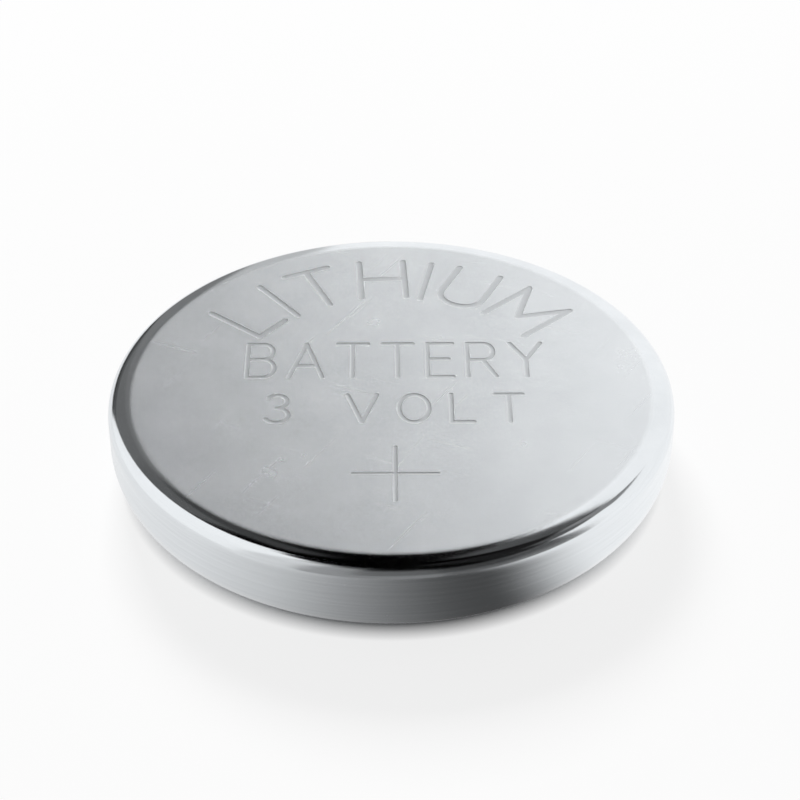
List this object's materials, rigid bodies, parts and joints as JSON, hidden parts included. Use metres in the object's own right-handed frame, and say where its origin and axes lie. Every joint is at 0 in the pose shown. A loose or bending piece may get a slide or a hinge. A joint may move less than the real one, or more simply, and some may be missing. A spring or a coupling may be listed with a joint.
{
  "type": "lithium coin cell",
  "caption": "Flat round lithium cell: a steel can with a rounded edge, crimped in over a plastic seal and a stepped cap, with electrodes and separator inside.",
  "frame": {"origin": "centre of the negative terminal face, on which the cell lies", "axes": "+Z along the cell's axis, towards the positive face; +Y to the top of the markings, +X to their right"},
  "size_m": [0.02, 0.02, 0.0032],
  "materials": {
    "can_steel": "satin on the faces, brighter on the rolled edges",
    "gasket_plastic": "moulded polypropylene, semi-matt",
    "cap_steel": "satin",
    "lithium": "soft rolled metal",
    "fleece": "non-woven polypropylene",
    "cathode": "pressed powder, matt",
    "grid_steel": "expanded metal"
  },
  "bodies": {
    "root": {"positive_can": "can_steel", "sealing_gasket": "gasket_plastic", "negative_cap": "cap_steel", "lithium_anode": "lithium", "separator": "fleece", "cathode_pellet": "cathode", "collector_grid": "grid_steel"}
  },
  "joints": []
}
